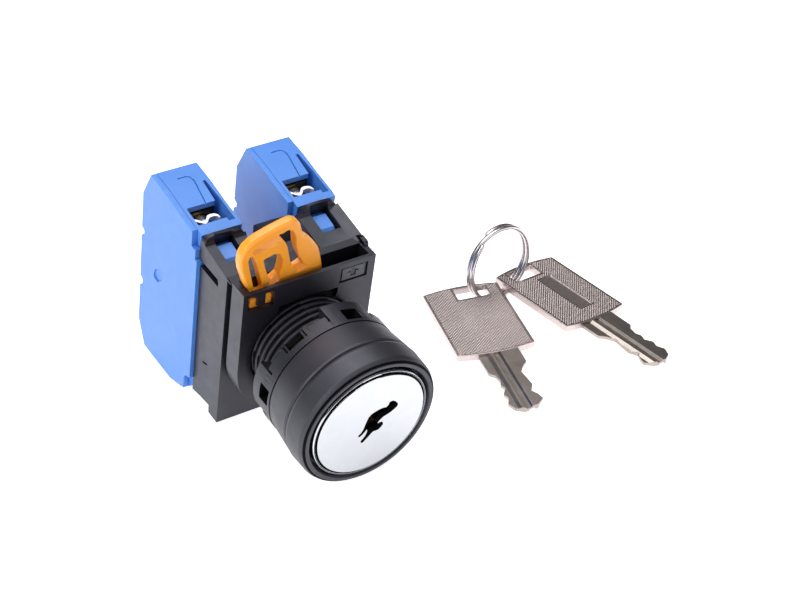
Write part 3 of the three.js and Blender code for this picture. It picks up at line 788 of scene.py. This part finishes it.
# ---------- locking lever ----------
LEVER_FRONT, LEVER_REAR = -4.2, -2.0
LEVER_RING_BORE, LEVER_RING_OUTER = 11.3, 12.35
LEVER = [
    (-8.2, 8.6), (-10.2, 12.4), (-11.6, 15.1), (-13.1, 17.9), (-13.9, 20.3), (-14.5, 22.1), (-14.8, 23.9),
    (-14.6, 25.7), (-13.9, 27.1), (-12.6, 28.2), (-11.4, 28.8), (-8.6, 29.7), (-5.3, 30.5), (-4.0, 30.6),
    (-3.1, 30.1), (-2.4, 29.2), (-2.0, 27.9), (-1.5, 26.3), (-0.5, 25.6), (0.4, 24.7), (1.4, 23.4),
    (2.3, 22.0), (2.8, 20.4), (3.2, 18.8), (3.6, 16.9), (4.2, 11.2), (0, 11.9),
]
LEVER_OPENINGS = (
    [(-13.1, 24.0), (-12.8, 25.1), (-12.2, 24.9), (-11.3, 23.2), (-10.7, 21.3), (-10.0, 18.9), (-9.4, 16.8),
     (-9.0, 15.2), (-10.9, 15.2), (-11.5, 17.3), (-12.1, 19.7), (-12.7, 22.0)],
    [(-9.9, 23.3), (-7.7, 24.0), (-6.3, 23.6), (-5.5, 21.9), (-5.6, 19.7), (-5.9, 18.2), (-7.2, 17.3),
     (-8.1, 17.8), (-8.7, 19.5), (-9.2, 20.8)],
    [(-6.5, 28.2), (-5.0, 28.8), (-3.8, 28.0), (-3.1, 26.3), (-2.8, 24.0), (-2.1, 21.9), (-0.7, 19.2),
     (-2.3, 18.5), (-3.4, 19.0), (-3.9, 20.7), (-4.4, 22.7), (-4.9, 24.7), (-5.5, 26.1), (-6.5, 27.4)],
)
LEVER_PAD = [
    (-12.5, 13.2), (-7.9, 13.2), (-7.9, 15.2), (-9.6, 15.2), (-9.6, 14.0), (-11.2, 14.0), (-11.2, 15.2),
    (-12.5, 15.2),
]


def ramp(deep_side, deep, shallow_side, front):
    """A cut that runs out to the front along one side; each side is a list of (x, z)."""
    edge = LEVER_FRONT - 0.01
    points = []
    for side, depth in ((deep_side, deep), (shallow_side, edge)):
        points += [(x, y, z) for y in (front, depth) for x, z in side]
    return hull(points)


def make_lever():
    """The orange plate with its ring round the stem, its openings and its ramps."""
    lever = prism(rounded(LEVER, 1.4, 4), "XZ", (LEVER_FRONT, LEVER_REAR))
    soften(lever, 0.62, 5, 50)
    ring = lathe([
        (LEVER_RING_BORE, LEVER_FRONT), (LEVER_RING_OUTER, LEVER_FRONT),
        (LEVER_RING_OUTER, LEVER_REAR), (LEVER_RING_BORE, LEVER_REAR),
    ], 96)
    join(lever, ring, prism(rounded(LEVER_PAD, 0.25), "XZ", (-4.95, -3.9)))
    tools = [
        disc(LEVER_RING_BORE, (-6, 0), segments=96),
        # the finger field below the rim, then a ramp under each of the two right openings
        ramp([(-12.3, 26.2), (-11.3, 26.8), (-8.9, 27.85), (-6.4, 28.4)], -3.15,
             [(-12.0, 25.3), (-10.3, 25.2), (-8.7, 25.5), (-5.6, 26.0)], -5.2),
        ramp([(-8.3, 17.6), (-5.8, 18.3)], -3.0, [(-8.0, 16.5), (-6.0, 17.0)], -4.9),
        ramp([(-2.5, 18.6), (-0.7, 19.3)], -2.9, [(-2.3, 17.6), (0.5, 18.3)], -4.9),
    ]
    tools += [prism(rounded(outline, 0.3, 3), "XZ", (-6, 0)) for outline in LEVER_OPENINGS]
    cut(lever, *tools)
    tidy_mesh(lever)
    soften(lever, 0.16, 2, 42)
    place(lever, "lever", SWITCH, LOOKS["orange_plastic"], "lever", "orange_plastic", ["locking_lever"])


# ---------- contact block ----------
COVER_THICK = 1.2
BLOCK_WIDTH = 9.9
TOP_LOW, TOP_MIDDLE, TOP_HIGH = (17.1, 20.4), (23.2, 21.3), (28.9, 21.7)
BOTTOM = [(12.2, -20.4), (17.6, -22.3)]
REAR = [
    (29.0, -22.5), (31.8, -17.1), (31.8, -8.0), (30.8, -7.6), (30.8, -5.9), (31.8, -5.5), (31.8, 4.9),
    (30.8, 5.3), (30.8, 6.7), (31.8, 7.1), (31.8, 15.5), TOP_HIGH, TOP_MIDDLE, TOP_LOW, (12.3, 19.9),
]
CASE_PROFILE = [
    (10.0, -16.4), (10.5, -18.4), (11.3, -19.7), *BOTTOM, *REAR, (10.8, 19.5), (10.8, 14.2), (10.0, 14.2),
]
COVER_PROFILE = [
    (10.0, -15.9), (11.6, -16.4), (12.1, -17.2), *BOTTOM, *REAR, (12.2, 16.4), (10.7, 16.4), (10.7, 14.2),
    (10.0, 14.2),
]
SCREW_HEIGHT = 16.3


def end_span(sign, low, high):
    """A height span at the upper end, or its mirror image at the lower end."""
    return (low, high) if sign > 0 else (-high, -low)


def end_height(y):
    """How high the sloped end of a block stands at y."""
    low, high = (TOP_LOW, TOP_MIDDLE) if y <= TOP_MIDDLE[0] else (TOP_MIDDLE, TOP_HIGH)
    return low[1] + (high[1] - low[1]) / (high[0] - low[0]) * (y - low[0])


def stroke(path, width, sign):
    """A shallow groove along a path on the sloped end of a block; a list of tools, one for each leg."""
    legs = []
    for one, two in zip(path, path[1:]):
        one, two = Vector(one), Vector(two)
        along = (two - one).normalized()
        side = Vector((-along.y, along.x)) * width / 2
        points = []
        for end in (one - along * width / 2, two + along * width / 2):
            for across in (side, -side):
                for lift in (-0.35, 1.0):
                    z = end_height(end.y) + lift
                    points.append((end.x + across.x, end.y + across.y, sign * z))
        legs.append(hull(points))
    return legs


def terminal_tools(sign):
    """What is cut out of a block's end: wire pocket, channel, screw hole and a fine line."""
    pocket = [(1.9, 13.2), (8.2, 13.2), (8.2, 18.05), (1.9, 18.05)]
    channel = [(8.35, 23.6), (8.95, 23.6), (9.3, 18.0), (9.3, 12.3), (7.9, 12.3), (8.05, 17.9)]
    line = [(6.0, 17.9), (6.85, 24.4), (6.5, 25.6), (5.9, 25.9), (4.2, 25.9)]
    return [
        prism(rounded(pocket, 0.25), "XY", end_span(sign, 12.6, 24)),
        block((1.9, 8.0), (18.0, 20.4), end_span(sign, 12.6, 19.4)),
        prism(channel, "XY", end_span(sign, 13.6, 24)),
        block((2.1, 7.8), (17.9, 19.2), end_span(sign, 4.8, 19.0)),
        disc(3.1, (20.2, 33), (BLOCK_CENTRE, sign * SCREW_HEIGHT), 40),
        *stroke(line, 0.26, sign),
    ]


def in_pocket(c):
    """Whether a point lies well inside one of the wire pockets."""
    return 1.8 < c.x < 8.25 and 13.15 < c.y < 20.5 and 4.0 < abs(c.z) < 19.0


def make_case(side):
    """The hollow case of a contact block, open at both ends for the terminals."""
    where = BLOCKS[side]
    case = prism(CASE_PROFILE, "YZ", (COVER_THICK + 0.02, BLOCK_WIDTH))
    latch = [(4.8, 15.1), (12.6, 15.1), (12.6, 17.0), (9.3, 17.2), (8.7, 17.8), (5.4, 17.1), (4.8, 16.5)]
    join(case, prism(rounded(latch, 0.15), "YZ", (3.4, 6.45)))
    hollow = block((0, 8.4), (11.5, 30.3), (-9.6, 9.6))
    plunger_hole = block((3.25, 6.65), (9, 12), (-2.2, 2.2))
    cut(case, hollow, plunger_hole, *terminal_tools(1), *terminal_tools(-1))
    tidy_mesh(case)
    soften(case, 0.13, 2, 35)
    place(case, f"case_{side}", where, LOOKS["blue_plastic"], "switch_body", "blue_plastic",
          [f"contact_case_{side}"], (LOOKS["blue_painted_shade"],))
    # painted shade on the faces deep inside the wire pockets
    dress_faces(case, where, in_pocket)


def make_cover(side):
    """The flat side cover, with a shallow round dent."""
    cover = prism(COVER_PROFILE, "YZ", (0, COVER_THICK))
    dent = [(25.7, 0.5), (24.0, 1.8), (22.7, 1.5), (23.0, -0.4), (24.6, -2.0), (26.5, -1.9)]
    cut(cover, prism(rounded(dent, 0.7, 4), "YZ", (-1, 0.35)))
    tidy_mesh(cover)
    soften(cover, 0.15, 2, 25)
    place(cover, f"cover_{side}", BLOCKS[side], LOOKS["blue_plastic"], "switch_body", "blue_plastic",
          [f"contact_cover_{side}"])


WAVE = [
    (2.2, 15.9), (2.9, 16.0), (3.6, 15.3), (4.3, 14.9), (5.0, 15.4), (5.6, 16.1), (6.4, 16.3), (7.2, 16.1),
    (7.7, 15.5),
]
CLAMP_HALF_THICK = 0.42
CLAMP_HALF_WIDTH = 2.5


def between_points(p, q, r, s, t):
    """Where a smooth line from q to r, with p before and s after it, has come to at t."""
    bend = 2 * p - 5 * q + 4 * r - s
    twist = 3 * q - p - 3 * r + s
    return 0.5 * (2 * q + (r - p) * t + bend * t * t + twist * t ** 3)


def curve(points, steps):
    """A smooth line through the points."""
    ends = [points[0], *points, points[-1]]
    out = []
    for run in zip(ends, ends[1:], ends[2:], ends[3:]):
        for k in range(steps):
            out.append(tuple(between_points(*four, k / steps) for four in zip(*run)))
    return out + [points[-1]]


def make_clamp(side, end, sign):
    """Saddle clamp: a plate pressed into a wave across the wires."""
    middle_line = curve(WAVE, 4)
    points = [(b, y - CLAMP_HALF_THICK) for b, y in middle_line]
    points += [(b, y + CLAMP_HALF_THICK) for b, y in reversed(middle_line)]
    height = sign * SCREW_HEIGHT
    clamp = prism(points, "XY", (height - CLAMP_HALF_WIDTH, height + CLAMP_HALF_WIDTH))
    cut(clamp, disc(1.95, (14, 18), (BLOCK_CENTRE, height), 32))
    tidy_mesh(clamp, 0.1)
    soften(clamp, 0.1, 2, 40)
    place(clamp, f"clamp_{end}_{side}", BLOCKS[side], LOOKS["clamp_steel"], f"clamp_{end}_{side}", "steel",
          [f"wire_clamp_{end}_{side}"])


def make_screw(side, end, sign):
    """A pan head screw with a cross slot."""
    profile = [
        (0, 13.9), (1.4, 13.9), (1.75, 14.3), (1.75, 20.5), (2.7, 20.5), (2.7, 21.6), (2.3, 22.4), (0, 22.6),
    ]
    screw = lathe(rounded(profile, [0, 0.1, 0.1, 0.15, 0.25, 0.4, 0.6, 0], 4), 48, False)
    height = sign * SCREW_HEIGHT
    screw.data.transform(Matrix.Translation((BLOCK_CENTRE, 0, height)))
    long, short = 1.6, 0.35
    cut(screw, *(
        block((BLOCK_CENTRE - x, BLOCK_CENTRE + x), (21.7, 23), (height - z, height + z))
        for x, z in ((long, short), (short, long))
    ))
    tidy_mesh(screw, 0.1)
    place(screw, f"screw_{end}_{side}", BLOCKS[side], LOOKS["steel"], f"screw_{end}_{side}", "steel",
          [f"terminal_screw_{end}_{side}"])


# ---------- keys ----------
HEAD_HALF, HEAD_END, HEAD_BOW = 8.6, 11.3, 1.0
HEAD_TOP = 0.75
SLOT = ((-1.7, 5.6), (7.55, 11.3))
BAR = ((-2.9, 0.7), (-7.7, 5.6))
BAR_DEPTH = 0.25
BLADE = [
    (-4.2, -10.9), (-4.2, -18.0), (-3.1, -19.1), (-2.7, -20.9), (-3.2, -22.3), (-2.6, -23.6), (-3.7, -25.2),
    (-3.1, -26.7), (-3.9, -28.4), (-3.0, -30.3), (-1.2, -31.2), (1.6, -30.8), (3.3, -29.3), (2.9, -27.8),
    (1.9, -26.3), (2.9, -24.4), (2.6, -22.2), (2.2, -19.9), (3.2, -18.2), (4.5, -16.9), (4.5, -10.9),
]
FACE, FLOOR = 0.57, 0.14  # the blade's faces and the floors of its grooves, from its middle plane
BLADE_SECTION = [
    (-4.7, 0.12), (-2.5, 0.12), (-1.8, FACE), (-1.1, FACE), (-0.85, FLOOR), (0.05, FLOOR), (0.45, FACE),
    (4.7, FACE), (4.7, -0.12), (2.5, -0.12), (1.8, -FACE), (1.1, -FACE), (0.85, -FLOOR), (-0.05, -FLOOR),
    (-0.45, -FACE), (-4.7, -FACE),
]
KNURL_STEP = 0.34
KNURL_HEIGHT = 0.11
KNURL_EDGE = 0.5  # the plain border round the knurl
KNURL_SINK = 0.03  # how far the pyramids' feet lie in the head
KNURL_COUNT = 42


def bow(u):
    """How far the head's curved ends stand out at u."""
    return HEAD_BOW * (1 - (u / HEAD_HALF) ** 2)


def head_outline(steps=12):
    out = []
    for sign in (-1, 1):
        for i in range(steps + 1):
            u = -sign * HEAD_HALF * (1 - 2 * i / steps)
            out.append((u, sign * (HEAD_END + bow(u))))
    return out


def rectangle(spans):
    """The outline of two spans."""
    (u0, u1), (v0, v1) = spans
    return [(u0, v0), (u1, v0), (u1, v1), (u0, v1)]


def in_spans(u, v, spans, margin):
    """Whether a point lies in two spans, widened by a margin."""
    (u0, u1), (v0, v1) = spans
    return u0 - margin < u < u1 + margin and v0 - margin < v < v1 + margin


def on_bar(c):
    """Whether a point lies on the floor of the sunk bar."""
    return in_spans(c.x, c.y, BAR, -0.1) and abs(c.z + HEAD_TOP - BAR_DEPTH) < 0.03


def knurl(side):
    """Diagonal rows of small pyramids on one face, a closed sheet sunk into the head."""
    bm = bmesh.new()
    grid = {}
    foot = side * (HEAD_TOP - KNURL_SINK)

    def corner(i, j):
        if (i, j) not in grid:
            grid[i, j] = bm.verts.new(((i - j) * KNURL_STEP, (i + j) * KNURL_STEP, foot))
        return grid[i, j]

    for i in range(-KNURL_COUNT, KNURL_COUNT):
        for j in range(-KNURL_COUNT, KNURL_COUNT):
            u, v = (i - j) * KNURL_STEP, (i + j + 1) * KNURL_STEP
            if abs(u) > HEAD_HALF - KNURL_EDGE or abs(v) > HEAD_END + bow(u) - KNURL_EDGE:
                continue
            if in_spans(u, v, SLOT, 0.5) or side < 0 and in_spans(u, v, BAR, 0.4):
                continue
            tip = bm.verts.new((u, v, foot + side * KNURL_HEIGHT))
            around = [corner(i, j), corner(i + 1, j), corner(i + 1, j + 1), corner(i, j + 1)]
            for k in range(4):
                bm.faces.new((around[k], around[(k + 1) % 4], tip))
    made = bmesh.ops.extrude_face_region(bm, geom=list(bm.faces), use_keep_orig=True)
    for v in made["geom"]:
        if isinstance(v, bmesh.types.BMVert):
            v.co.z = side * (HEAD_TOP - 0.25)
    return as_object(bm)


def make_key(name, body):
    """A flat head with its ring slot and sunk bar, a grooved blade, and a knurl on both faces."""
    where = KEYS[name]
    head = prism(head_outline(), "XY", (-HEAD_TOP, HEAD_TOP))
    slot = prism(rounded(rectangle(SLOT), 0.3, 3), "XY", (-2, 2))
    bar = prism(rounded(rectangle(BAR), 0.3, 3), "XY", (-2, BAR_DEPTH - HEAD_TOP))
    cut(head, slot, bar)
    tidy_mesh(head, 0.3)
    soften(head, 0.22, 3, 40)
    place(head, name + "_head", where, LOOKS["nickel"], body, "nickel", [name], (LOOKS["nickel_matt"],))
    dress_faces(head, where, on_bar)
    blade = prism(BLADE_SECTION, "XZ", (-34, -10.4))
    combine(blade, [prism(rounded(BLADE, 0.25, 2), "XY", (-2, 2))], "INTERSECT")
    tidy_mesh(blade, 0.2)
    soften(blade, 0.06, 2, 30)
    place(blade, name + "_blade", where, LOOKS["nickel_blade"], body, "nickel")
    for face, side in (("front", 1), ("back", -1)):
        sheet = knurl(side)
        place(sheet, f"{name}_knurl_{face}", where, LOOKS["nickel_knurl"], body, "nickel")
        sheet.modifiers.clear()
        sheet.data.shade_flat()


RING_RADIUS = 8.5
RING_TURNS = 1.96
RING_START = 2.25  # the angle of the wire's first end, in radians
RING_RISE = 0.55  # half the distance between the two turns
WIRE_HALF = 0.5
WIRE_SQUARE = 3.2  # the power of the wire's squarish section
WIRE_FLAT = 0.92  # the wire's width across, as a share of its width along the ring's axis
WIRE_TAPER = (0.62, 0.86, 0.96, 0.99)  # the sections next to an end
STEP_START, STEP_LENGTH = 0.84, 0.28  # where the wire steps across to the other turn, in turns


def make_ring():
    """A flattish wire wound nearly twice, which steps across from one turn to the other."""
    steps, sides = 300, 16
    bm = bmesh.new()
    rings = []
    for i in range(steps + 1):
        turn = RING_TURNS * i / steps
        x = min(1.0, max(0.0, (turn - STEP_START) / STEP_LENGTH))
        y = RING_RISE * (2 * x * x * (3 - 2 * x) - 1)
        angle = 2 * math.pi * turn + RING_START
        end = min(i, steps - i)
        size = WIRE_HALF * (WIRE_TAPER[end] if end < len(WIRE_TAPER) else 1.0)
        ring = []
        for k in range(sides):
            t = 2 * math.pi * k / sides
            out, over = math.cos(t), math.sin(t)
            flat = (abs(out) ** WIRE_SQUARE + abs(over) ** WIRE_SQUARE) ** (-1 / WIRE_SQUARE)
            r = RING_RADIUS + size * WIRE_FLAT * flat * out
            ring.append(bm.verts.new((r * math.cos(angle), y + size * flat * over, r * math.sin(angle))))
        rings.append(ring)
    for one, two in zip(rings, rings[1:]):
        for k in range(sides):
            n = (k + 1) % sides
            bm.faces.new((one[k], one[n], two[n], two[k]))
    bm.faces.new(rings[0])
    bm.faces.new(rings[-1])
    place(as_object(bm), "wire_ring", RING, LOOKS["ring_chrome"], "key_ring", "chrome", ["split_ring"])


# ---------- CAD pieces that stay ----------
KEPT = {
    "panel_gasket": "rubber", "lock_barrel": "zinc", "rotor_cam": "white_plastic", "cam_screw": "steel",
    "plunger": "white_plastic", "contact_bridge": "copper_alloy", "return_spring": "steel",
    "fixed_contact": "copper_alloy",
}


def dress_kept():
    """Gives each CAD piece that stays its look, and all but the springs slightly rounded edges."""
    for name, obj in nodes.items():
        look = next((v for k, v in KEPT.items() if name.startswith(k)), None)
        if look is None or obj.hide_render:
            continue
        obj.data.materials.clear()
        obj.data.materials.append(LOOKS[look])
        weld = obj.modifiers.new("weld", "WELD")
        weld.merge_threshold = 1e-6
        if not name.startswith("return_spring"):
            flat = obj.modifiers.new("flat", "DECIMATE")
            flat.decimate_type = "DISSOLVE"
            flat.angle_limit = math.radians(1)
            edge = obj.modifiers.new("round", "BEVEL")
            edge.width = 0.12 * MM
            edge.segments = 2
            edge.limit_method = "ANGLE"
            edge.angle_limit = math.radians(40)
        obj.data.shade_smooth()
        obj.modifiers.new("normals", "WEIGHTED_NORMAL")


make_bezel()
make_operator()
make_disc()
make_plug()
make_nut()
make_adapter()
make_lever()
for side in BLOCKS:
    make_case(side)
    make_cover(side)
    for end, sign in (("upper", 1), ("lower", -1)):
        make_clamp(side, end, sign)
        make_screw(side, end, sign)
make_key("key_1", "key_one")
make_key("key_2", "key_two")
make_ring()
dress_kept()


# ---------- stage ----------
FLOOR_HALF = 3.0
FLOOR_GAP = 0.0002  # keeps the floor just clear of what stands on it


def make_stage():
    bm = bmesh.new()
    for x, y in ((-1, -1), (1, -1), (1, 1), (-1, 1)):
        bm.verts.new((x * FLOOR_HALF, y * FLOOR_HALF, 0))
    bm.faces.new(bm.verts)
    floor = as_object(bm, "floor")
    floor.location.z = -FLOOR_GAP
    material, _, bsdf = shader("floor_white")
    bsdf.inputs["Base Color"].default_value = (0.80, 0.80, 0.81, 1)
    bsdf.inputs["Emission Color"].default_value = (1.0, 1.0, 1.02, 1)
    bsdf.inputs["Emission Strength"].default_value = 0.88
    bsdf.inputs["Roughness"].default_value = 0.6
    bsdf.inputs["Specular IOR Level"].default_value = 0.2
    floor.data.materials.append(material)


SKY = ((0.02, 0.5), (0.08, 0.16), (0.45, 0.10), (0.72, 0.24), (0.86, 0.8))  # heights and brightness
SKY_STRENGTH = 0.68
SKY_BLUE = 1.04


def area(name, at, aim, size, power):
    """A rectangular lamp that looks at aim."""
    data = bpy.data.lights.new(name, "AREA")
    data.shape = "RECTANGLE"
    data.size, data.size_y = size
    data.energy = power
    lamp = bpy.data.objects.new(name, data)
    bpy.context.scene.collection.objects.link(lamp)
    lamp.location = at
    lamp.rotation_mode = "QUATERNION"
    lamp.rotation_quaternion = (Vector(aim) - Vector(at)).to_track_quat("-Z", "Y")


def make_light():
    """A sky that is dark round the middle, so that the black parts keep their edges, and three softboxes."""
    world = bpy.data.worlds.new("studio")
    bpy.context.scene.world = world
    world.use_nodes = True
    tree = world.node_tree
    at = tree.nodes.new("ShaderNodeTexCoord").outputs["Generated"]
    split = tree.nodes.new("ShaderNodeSeparateXYZ")
    tree.links.new(at, split.inputs["Vector"])
    ramp = tree.nodes.new("ShaderNodeValToRGB")
    stops = ramp.color_ramp.elements
    stops[0].position, stops[0].color = 0.0, (0.9, 0.9, 0.92, 1)
    stops[1].position, stops[1].color = 1.0, (0.85, 0.86, 0.9, 1)
    for position, level in SKY:
        stops.new(position).color = (level, level, level * SKY_BLUE, 1)
    tree.links.new(split.outputs["Z"], ramp.inputs["Fac"])
    background = tree.nodes["Background"]
    tree.links.new(ramp.outputs["Color"], background.inputs["Color"])
    background.inputs["Strength"].default_value = SKY_STRENGTH
    area("softbox_top", (-0.02, 0.10, 0.60), (0, 0, 0.02), (0.55, 0.45), 3.2)
    area("softbox_left", (-0.50, -0.05, 0.34), (0, 0, 0.02), (0.30, 0.45), 1.75)
    area("softbox_front", (0.10, -0.60, 0.30), (0, 0, 0.01), (0.45, 0.2), 0.65)


# where the camera stands and how it is turned, in the switch's own frame
CAMERA_AT = (-150.049, -215.054, 231.156)
CAMERA_AZIMUTH, CAMERA_ELEVATION, CAMERA_ROLL = -39.4349, 40.0881, 9.1047
CAMERA_SENSOR, CAMERA_LENS = 36.0, 80.79615


def make_camera():
    azimuth, elevation, roll = (math.radians(a) for a in (CAMERA_AZIMUTH, CAMERA_ELEVATION, CAMERA_ROLL))
    level = Vector((math.cos(azimuth), math.sin(azimuth), 0))
    away = Vector((math.sin(azimuth), -math.cos(azimuth), 0))
    back = away * math.cos(elevation) + Vector((0, 0, math.sin(elevation)))
    above = back.cross(level)
    right = math.cos(roll) * level + math.sin(roll) * above
    up = -math.sin(roll) * level + math.cos(roll) * above
    turn = frame_of(axis_x, axis_y, axis_z, Vector((0, 0, 0))).to_3x3()
    data = bpy.data.cameras.new("camera")
    data.sensor_width = CAMERA_SENSOR
    data.lens = CAMERA_LENS
    data.clip_start, data.clip_end = 0.01, 20
    camera = bpy.data.objects.new("camera", data)
    bpy.context.scene.collection.objects.link(camera)
    camera.matrix_world = frame_of(turn @ right, turn @ up, turn @ back, SWITCH @ Vector(CAMERA_AT))
    bpy.context.scene.camera = camera


make_stage()
make_light()
make_camera()
bpy.context.scene.view_settings.view_transform = "Standard"
